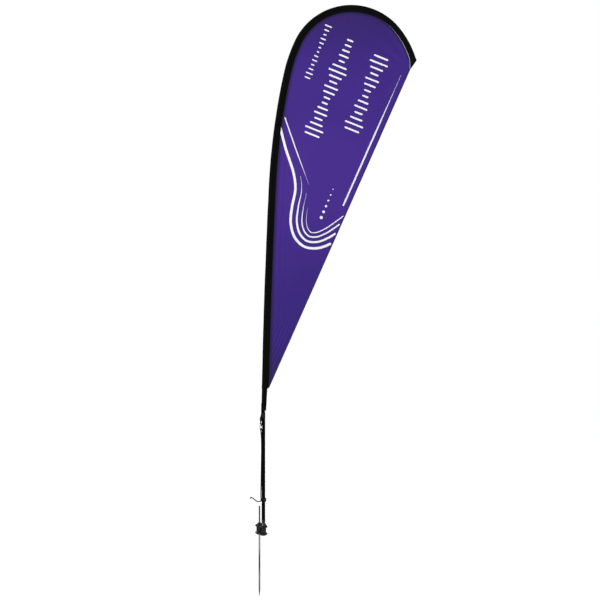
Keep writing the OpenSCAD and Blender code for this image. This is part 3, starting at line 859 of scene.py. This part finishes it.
def flag_cloth():
    """One sheet, held under the sleeve's seam on one side and inside the hem on the other."""
    low_t, high_t = 0.010, EDGE_LEN - 0.008

    def flat_place(i, j):
        share = i / CLOTH_ROWS
        s = CLOTH_START + (CLOTH_END - CLOTH_START) * share
        held = by_pole(s, TUCK - seam_at(s), 0.0) - POLE
        held = held.lerp(Vector((POINT.x, 0.0, POINT.y)), ease(POLE_LEN, CLOTH_END, s))
        free = on_edge(low_t + (high_t - low_t) * share, TUCK)
        across = (j / CLOTH_COLUMNS) ** 1.35  # columns are closer together beside the seam
        return Vector((held.x, held.z)).lerp(free, across)

    def place(i, j):
        spot = flat_place(i, j)
        return POLE + Vector((spot.x, -ripple(spot.x, spot.y), spot.y))

    bm = bmesh.new()
    skin(bm, CLOTH_ROWS, CLOTH_COLUMNS, place)
    uv = bm.loops.layers.uv.verify()
    from_seam = bm.verts.layers.float.new("from_seam")
    for vertex in bm.verts:
        vertex[from_seam] = near_seam(vertex.co.x - POLE.x, vertex.co.z)[1]
    for face in bm.faces:
        for loop in face.loops:
            loop[uv].uv = (loop.vert.co.x, loop.vert.co.z)
    surface = BVHTree.FromBMesh(bm)
    piece = new_piece("flag_cloth", bm, "flag_cloth")
    thicken(piece, CLOTH_THICK)
    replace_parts(piece, "flag_panel")
    return piece, surface


def on_cloth(x, z):
    """The cloth's middle layer at a flat place on it."""
    start = POLE + Vector((x, -1.0, z))
    hit = CLOTH_SURFACE.ray_cast(start, Vector((0.0, 1.0, 0.0)))[0]
    return hit or POLE + Vector((x, -ripple(x, z), z))


def edge_hem():
    """The free edge, folded over twice and sewn, slightly drawn by its stitches."""
    rows = 380
    # The fold's section: inset from the edge, and out from the cloth's middle
    fold = [
        (0.0, 0.0), (0.0006, 0.00075), (0.0020, 0.0010), (0.0050, HEM_HALF), (0.0080, 0.0010),
        (HEM_WIDTH, 0.0004)]
    loop = fold + [(inset, -side) for inset, side in reversed(fold[1:])]

    def place(i, j):
        t = 0.003 + (EDGE_LEN - 0.005) * i / rows
        inset, side = loop[j]
        drawn = 1.0 + 0.10 * sin(2 * pi * t / 0.0073) + 0.12 * waver(60.0 * t, 5.0)
        edge = 0.0004 * waver(9.0 * t, 2.0)
        spot = on_edge(t, inset + edge)
        middle = on_edge(t, HEM_MIDDLE)
        return POLE + Vector((spot.x, -ripple(middle.x, middle.y) - side * drawn, spot.y))

    bm = bmesh.new()
    skin(bm, rows, len(loop), place, (EDGE_LEN, 2 * HEM_WIDTH), closed=True, capped=True)
    piece = new_piece("free_edge_hem_fold", outwards(bm), "hem_cloth")
    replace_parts(piece, "free_edge_hem")
    return piece


def pocket_loop(radius, reach, half=SEAM_HALF, columns_flat=6):
    """The sleeve's section: round the pole, then in to a flat seam. Pairs of (out, across)."""
    columns_round = 26
    touch = 112
    loop = []
    for k in range(columns_round + 1):
        turn = radians(-touch + 2 * touch * k / columns_round)
        loop.append((radius * cos(turn), radius * sin(turn)))
    start = loop[-1]
    for k in range(1, columns_flat + 1):
        share = k / columns_flat
        out = start[0] + (-reach - start[0]) * share
        hollow = (1 - share) ** 1.5
        loop.append((out, half + (start[1] - half) * hollow))
    return loop + [(out, -across) for out, across in reversed(loop[columns_round + 1:])]


def crumple(s, out, across):
    """How far the sleeve's cloth stands in or out: slack on the straight, puckered where it bends."""
    crown = ease(CROWN_START, CROWN_START + 0.15, s)
    inner = ease(0.004, -0.010, out)
    side = 1.0 if across > 0 else -1.0
    puckers = 0.00045 * crown * inner
    puckers *= sin(2 * pi * s / 0.017 + side * 0.7 + 2.0 * waver(14.0 * s, side))
    slack = 0.0006 * waver(11.0 * s, 60.0 * out, 60.0 * across) * (1 - 0.5 * crown)
    return puckers + slack


def sleeve_length(name, start, end, seam_low, seam_high, gap, radius, hem):
    """A length of sleeve whose seam goes from seam_low to seam_high away from the pole's middle, with a
    hem at its lower end."""
    rows = ceil((end - start) / gap)
    loops = []
    for i in range(rows + 1):
        narrower = SEAM - seam_at(start + (end - start) * i / rows)
        reach = seam_low + (seam_high - seam_low) * i / rows
        loops.append(pocket_loop(radius, reach - narrower))

    def place(i, j):
        s = start + (end - start) * i / rows
        out, across = loops[i][j]
        free = crumple(s, out, across)
        if s < start + hem:
            free = free * 0.3 + 0.0007
        away = hypot(out, across)
        grow = 1 + free / away if out > -0.015 else 1.0
        return by_pole(s, out * grow, across * grow)

    bm = bmesh.new()
    skin(bm, rows, len(loops[0]), place, (end - start, 0.11), closed=True)
    piece = new_piece(name, outwards(bm), "sleeve_cloth")
    return thicken(piece, SLEEVE_THICK, -1.0)


def pole_sleeve():
    piece = sleeve_length(
        "pole_sleeve_cloth", SLEEVE_START, SLEEVE_END, SEAM, SEAM, 0.007, POCKET_R, SLEEVE_HEM)
    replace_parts(piece, "pole_sleeve")


def sleeve_cuff():
    """The narrow end of the sleeve, with a deep hem at its mouth."""
    end = SLEEVE_START + 0.006
    piece = sleeve_length(
        "sleeve_cuff_cloth", CUFF_START, end, 0.0150, 0.0197, 0.003, POCKET_R - 0.0004, CUFF_HEM)
    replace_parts(piece, "sleeve_cuff")


def tip_pocket():
    """The sewn end of the sleeve past the pole's tip, from the sleeve's section to a flat straight end."""
    rows = 18
    reach = seam_at(SLEEVE_END)
    mouth = pocket_loop(POCKET_R, reach)
    start = SLEEVE_END - 0.004
    flat_half = 0.0019

    def place(i, j):
        share = i / rows
        out, across = mouth[j]
        here = by_pole(start, out, across)
        there = POCKET_LOW.lerp(POCKET_HIGH, (out + reach) / (reach + POCKET_R))
        side = max(-1.0, min(1.0, across / 0.004))
        there.y = POLE.y + side * flat_half
        spot = here.lerp(there, share)
        crumpled = 0.002 * sin(9 * pi * share) * side * (1 - share) * share
        spot.y = here.y + (there.y - here.y) * ease(0.0, 0.85, share) + crumpled
        return spot

    bm = bmesh.new()
    skin(bm, rows, len(mouth), place, (0.045, 0.11), closed=True, capped=True)
    piece = new_piece("tip_pocket_fold", outwards(bm), "webbing")
    soften = piece.modifiers.new("Rounded", "SUBSURF")
    soften.levels = soften.render_levels = 1
    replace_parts(piece, "tip_pocket")


def seam_edge():
    """The cloth's own unprinted edge shows beside the seam near the tip, wider towards it."""
    start = POLE_LEN - 0.300
    steps = 60
    stations = [start + (SLEEVE_END - start) * k / steps for k in range(steps + 1)]
    line = [by_pole(s, -seam_at(s), 0.0) - POLE for s in stations]
    line.append(Vector((POINT.x, 0.0, POINT.y + 0.004)))
    line, length = evenly(line, 0.004)
    rows = len(line) - 1

    def place(i, j):
        wide = 0.0032 * ease(0.0, 0.8, i / rows)
        along = direction(line, i)
        inwards = Vector((along.z, 0.0, -along.x))
        flat = line[i] + inwards * ((wide + 0.0016) * j / 2 - 0.0016)
        return on_cloth(flat.x, flat.z)

    bm = bmesh.new()
    skin(bm, rows, 2, place, (length, 0.004))
    return thicken(new_piece("seam_raw_edge", bm, "flag_cloth", "raw_edge"), RAW_EDGE_THICK)


# ---- Print ----

def stroke(bm, route, width, taper_start=False, taper_end=False):
    """A printed line along a route on the cloth, with round or tapered ends."""
    points, length = evenly([Vector((x, 0.0, z)) for x, z in route], 0.003)
    rows = len(points) - 1
    half = width / 2

    def place(i, j):
        here = points[i]
        along = direction(points, i)
        side = Vector((-along.z, 0.0, along.x))
        wide = half
        run = length * (i / rows)
        for tapered, from_end in ((taper_start, run), (taper_end, length - run)):
            if tapered:
                wide *= 0.12 + 0.88 * ease(0.0, 0.55 * length, from_end)
            elif from_end < half:
                wide *= 0.3 + 0.7 * sqrt(1 - (1 - from_end / half) ** 2)
        spot = here + side * wide * (j - 1)
        return on_cloth(spot.x, spot.z)

    skin(bm, rows, 2, place, (length, width))


def printed(name, bm):
    """The print's layer goes through the cloth and stands a little proud of both its sides."""
    return thicken(new_piece(name, bm, "flag_cloth", "print_white"), PRINT_THICK)


def flat_curve(points):
    return curve_through([(x, 0.0, z) for x, z in points], 10)


WAVE = [
    (0.088, 2.262), (0.122, 2.130), (0.164, 2.000), (0.176, 1.905), (0.158, 1.810), (0.150, 1.720),
    (0.172, 1.640), (0.226, 1.588), (0.300, 1.580), (0.372, 1.606), (0.440, 1.650), (0.520, 1.710)]
# How far inside the first each wave lies, where along it it starts, and its width
WAVES = [(0.0, 0.0, 0.0135), (0.034, 0.300, 0.0110), (0.062, 0.380, 0.0080), (0.086, 0.455, 0.0055)]
# Each row of bars: its start on the cloth, count, pitch, longest bar and the bars' width
BARS = {
    "print_bars_long": ((0.262, 2.190), 19, 0.0310, 0.108, 0.0095),
    "print_bars_short": ((0.480, 2.215), 14, 0.0330, 0.108, 0.0095),
    "print_bars_small": ((0.238, 2.506), 13, 0.0255, 0.042, 0.0070)}


def wave_lines():
    """Four flowing lines, one inside the other, that sweep down from the sleeve to the free edge."""
    bm = bmesh.new()
    line, length = evenly(flat_curve(WAVE), 0.004)
    for inside, start, width in WAVES:
        route = []
        for k in range(1, len(line) - 1):
            along = direction(line, k)
            spot = line[k] + Vector((-along.z, 0.0, along.x)) * inside
            spot = Vector((spot.x, spot.z))
            if length * k / len(line) > start and (spot - TAIL).dot(EDGE_IN) > HEM_WIDTH:
                route.append(tuple(spot))
        stroke(bm, route, width, taper_start=start > 0)
    thin = flat_curve([(0.118, 2.300), (0.180, 2.120), (0.250, 1.930)])
    stroke(bm, [(p.x, p.z) for p in thin], 0.0060, taper_end=True)
    return printed("print_waves", bm)


def edge_line():
    """A line beside the free edge, thinner towards the point."""
    bm = bmesh.new()
    start, end = on_edge(1.080, 0.034), on_edge(1.870, 0.034)
    stroke(bm, [tuple(start), tuple(end)], 0.0090, taper_end=True)
    return printed("print_edge_line", bm)


def level_bars():
    """Three rows of rounded bars, long and short by turns, set square to the free edge's slant."""
    along = Vector((0.376, 0.927)).normalized()
    up = Vector((-along.y, along.x))
    made = []
    for name, (start, count, pitch, longest, width) in BARS.items():
        bm = bmesh.new()
        for k in range(count):
            middle = Vector(start) + along * pitch * (k + 0.5)
            reach = longest / 2 * (0.30 + 0.70 * abs(sin(0.83 * k + 0.9) * cos(0.31 * k - 0.4)))
            stroke(bm, [tuple(middle - up * reach), tuple(middle + up * reach)], width)
        made.append(printed(name, bm))
    return made


def beads():
    """A string of dots that shrinks as it climbs between the waves and the free edge."""
    bm = bmesh.new()
    for k in range(6):
        size = 0.017 - 0.0022 * k
        x = 0.318 + 0.013 * k
        z = 1.748 + 0.031 * k
        stroke(bm, [(x - size / 2, z), (x + size / 2, z)], size)
    return printed("print_dots", bm)


# ---- Sewing ----

def stitches(name, places, long, wide, high, finish, slot):
    """A row of stitches. Each place is a point, the way the thread runs, and the way out of the cloth."""
    bm = bmesh.new()
    for spot, along, out in places:
        along = along.normalized()
        side = out.cross(along).normalized()
        out = along.cross(side)
        turned = Matrix((along, side, out)).transposed().to_4x4()
        sized = Matrix.Diagonal((long / 2, wide / 2, high / 2, 1.0))
        matrix = Matrix.Translation(spot) @ turned @ sized
        bmesh.ops.create_icosphere(bm, subdivisions=1, radius=1.0, matrix=matrix)
    return new_piece(name, bm, slot, finish)


def seam_stitches():
    """Two faces of lock stitch along the sleeve's seam."""
    pitch = 0.0046
    places = []
    count = floor((SLEEVE_END - 0.012 - (CLOTH_START - 0.02)) / pitch)
    for k in range(count):
        s = CLOTH_START - 0.02 + pitch * (k + 0.5)
        heading = pole_at(s)[2]
        for face in (-1, 1):
            spot = by_pole(s, 0.0032 - seam_at(s), face * 0.00135)
            places.append((spot, Vector((sin(heading), 0.0, cos(heading))), Vector((0.0, face, 0.0))))
    stitches("sleeve_seam_stitches", places, 0.0034, 0.0008, 0.0007, "sleeve_thread", "sleeve_cloth")


def hem_stitches():
    pitch = 0.0050
    places = []
    for k in range(floor((EDGE_LEN - 0.020) / pitch)):
        t = 0.012 + pitch * k
        spot = on_edge(t, HEM_WIDTH - 0.0024)
        middle = on_edge(t, HEM_MIDDLE)
        for face in (-1, 1):
            point = POLE + Vector((spot.x, -ripple(middle.x, middle.y) + face * HEM_HALF, spot.y))
            places.append((point, Vector((EDGE.x, 0.0, EDGE.y)), Vector((0.0, face, 0.0))))
    return stitches("free_edge_stitches", places, 0.0036, 0.0008, 0.0007, "hem_thread", "hem_cloth")


def mouth_stitches():
    """A ring of stitches holds each hem at the sleeve's lower end, clear of the seam."""
    places = []
    for s, reach, radius in (
            (CUFF_START + CUFF_HEM - 0.003, 0.0155, POCKET_R + 0.0004),
            (SLEEVE_START + SLEEVE_HEM - 0.003, SEAM, POCKET_R + 0.0008)):
        loop = pocket_loop(radius, reach, 0.0014, 5)
        for a, b in zip(loop, loop[1:] + loop[:1]):
            here, beyond = by_pole(s, *a), by_pole(s, *b)
            middle = here.lerp(beyond, 0.5)
            if (beyond - here).length > 0.0015 and min(a[0], b[0]) > 0.003 - reach:
                places.append((middle, beyond - here, middle - by_pole(s, 0.0, 0.0)))
    stitches("sleeve_mouth_stitches", places, 0.0021, 0.0008, 0.0007, "sleeve_thread", "sleeve_cloth")


def tip_stitches():
    """Two rows of stitches cross the sewn end of the sleeve."""
    along = (POCKET_HIGH - POCKET_LOW).normalized()
    back = Vector((-along.z, 0.0, along.x))
    places = []
    for inset in (0.004, 0.008):
        for k in range(13):
            for face in (-1, 1):
                spot = POCKET_LOW + along * (0.005 + 0.0043 * k) + back * inset
                spot.y = POLE.y + face * 0.0023
                places.append((spot, along, Vector((0.0, face, 0.0))))
    stitches("tip_pocket_stitches", places, 0.0034, 0.0009, 0.0008, "sleeve_thread", "sleeve_cloth")


def tail_strap():
    """Webbing that turns round the bar of the hook's eye and is sewn to the cuff above it."""
    wide, wall = 0.0080, 0.0011
    route = [
        (0.0064, 0.118), (0.0063, 0.100), (0.0061, 0.080), (0.0056, 0.062), (0.0042, 0.050),
        (0.0030, 0.042), (0.0030, 0.036), (0.0032, 0.031), (0.0030, 0.0272), (0.0018, 0.0254),
        (0.0, 0.0250), (-0.0018, 0.0254), (-0.0030, 0.0272), (-0.0032, 0.031), (-0.0026, 0.036),
        (-0.0004, 0.042), (0.0020, 0.047), (0.0030, 0.0505)]
    line = curve_through([(0.0, y, z) for y, z in route], 5)
    rows = len(line) - 1
    section = [(-1, -1), (-0.92, -1), (0.92, -1), (1, -1), (1, 1), (0.92, 1), (-0.92, 1), (-1, 1)]

    def place(i, j):
        here = line[i]
        along = direction(line, i)
        out = Vector((0.0, along.z, -along.y))
        across, side = section[j]
        thick = wall / 2 * (0.55 if abs(across) == 1 else 1.0)
        return HOOK @ (here + Vector((wide / 2 * across, 0.0, 0.0)) + out * side * thick)

    bm = bmesh.new()
    skin(bm, rows, len(section), place, (0.14, 2 * wide), closed=True, capped=True)
    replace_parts(new_piece("tail_strap_webbing", outwards(bm), "webbing"), "tail_strap")
    places = []
    for z in (0.0535, 0.0565):
        for k in range(-2, 3):
            spot = HOOK @ Vector((0.0015 * k, 0.0036, z - 0.0015))
            places.append((spot, HOOK.to_3x3() @ Vector((1, 0, 0)), HOOK.to_3x3() @ Vector((0, -1, 0.4))))
    stitches("tail_strap_stitches", places, 0.0013, 0.0007, 0.0007, "sleeve_thread", "webbing")


cloth, CLOTH_SURFACE = flag_cloth()
hem = edge_hem()
prints = [wave_lines(), edge_line(), beads()] + level_bars()
raw = seam_edge()
[hem, raw, hem_stitches()] + prints
pole_sleeve()
sleeve_cuff()
tip_pocket()
tail_strap()
seam_stitches()
mouth_stitches()
tip_stitches()


# ---- The frame's own parts ----

def finish_of(node):
    """The name of the record's material slot that a part of the frame has."""
    return node.material_slots[0].material.name.split(".")[0]


def round_edges(piece, width):
    bevel = piece.modifiers.new("Rounded edges", "BEVEL")
    bevel.width = width
    bevel.segments = 2
    bevel.limit_method = "ANGLE"
    bevel.angle_limit = radians(36)
    bevel.harden_normals = True


def turned_copy(name, outline, middle, rounding, closed=False):
    """A lathe-turned copy of one of the frame's parts. Its outline is in (radius, height)."""
    node = frame["nodes"][name]
    bm = bmesh.new()
    corners = [bm.verts.new((middle.x + r, middle.y, z)) for r, z in outline]
    for k in range(len(corners) - (0 if closed else 1)):
        bm.edges.new((corners[k], corners[(k + 1) % len(corners)]))
    bmesh.ops.spin(bm, geom=bm.verts[:] + bm.edges[:], cent=middle, axis=(0, 0, 1), dvec=(0, 0, 0),
                   angle=2 * pi, steps=48, use_merge=True, use_duplicate=False)
    bmesh.ops.remove_doubles(bm, verts=bm.verts, dist=1e-6)
    outwards(bm)
    for edge in bm.edges:
        edge.smooth = edge.calc_face_angle(0.0) < radians(25)
    piece = new_piece(name + "_turned", bm, finish_of(node), body=node["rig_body"])
    round_edges(piece, rounding)
    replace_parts(piece, name)


def ground_stake():
    """The bar steps in at ground level, and ends in a long point below and a small chamfer above."""
    low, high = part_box("ground_stake")
    r = high.x
    thin_r = r - 0.0005
    turned_copy("ground_stake", [
        (0.0, low.z), (0.0006, low.z + 0.0015), (r, low.z + 0.040), (r, 0.0), (thin_r, 0.0),
        (thin_r, high.z - 0.002), (r - 0.002, high.z), (0.0, high.z)], Vector((0, 0, 0)), 0.0004)


def base_tube():
    bore = POLE_R - 0.002
    outline = [(bore, BASE_LOW.z), (POLE_R, BASE_LOW.z), (POLE_R, BASE_HIGH.z), (bore, BASE_HIGH.z)]
    turned_copy("pole_base_tube", outline, POLE, 0.0003, closed=True)


# How far the edges of each part that shows are rounded
EDGE_ROUNDING = {
    "bracket_body": 0.0006, "roll_pin": 0.0002, "bush_screw": 0.0002, "bottom_plug": 0.0003,
    "rotor_cone": 0.0004, "spindle": 0.0003, "spindle_nut": 0.0004, "nut_washer": 0.0001,
    "thrust_washer": 0.0001, "upper_bush": 0.0002, "lower_bush": 0.0002, "pole_foot_ring": 0.0003,
    "base_ferrule": 0.00015, "snap_hook_body": 0.0005, "snap_hook_gate": 0.0003, "gate_pin": 0.0002}
SMOOTH_ONLY = ["tension_ring", "peg_o_rings", "pole_second_section"]


def finer_copy(name, rounding):
    """A copy of one of the frame's parts with its faces joined, its curves smooth and its edges rounded."""
    node = frame["nodes"][name]
    bm = bmesh.new()
    bm.from_mesh(node.data)
    bmesh.ops.remove_doubles(bm, verts=bm.verts, dist=2e-6)
    if rounding:
        bmesh.ops.dissolve_limit(bm, angle_limit=radians(0.5), verts=bm.verts, edges=bm.edges)
    for edge in bm.edges:
        edge.smooth = edge.calc_face_angle(0.0) < radians(32)
    piece = new_piece(name + "_finished", bm, finish_of(node), body=node["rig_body"])
    if rounding:
        round_edges(piece, rounding)
    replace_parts(piece, name)


ground_stake()
base_tube()
for name, rounding in EDGE_ROUNDING.items():
    finer_copy(name, rounding)
for name in SMOOTH_ONLY:
    finer_copy(name, 0.0)
for name, node in frame["nodes"].items():
    for holder in node.material_slots:
        holder.material = FINISH[finish_of(node)]
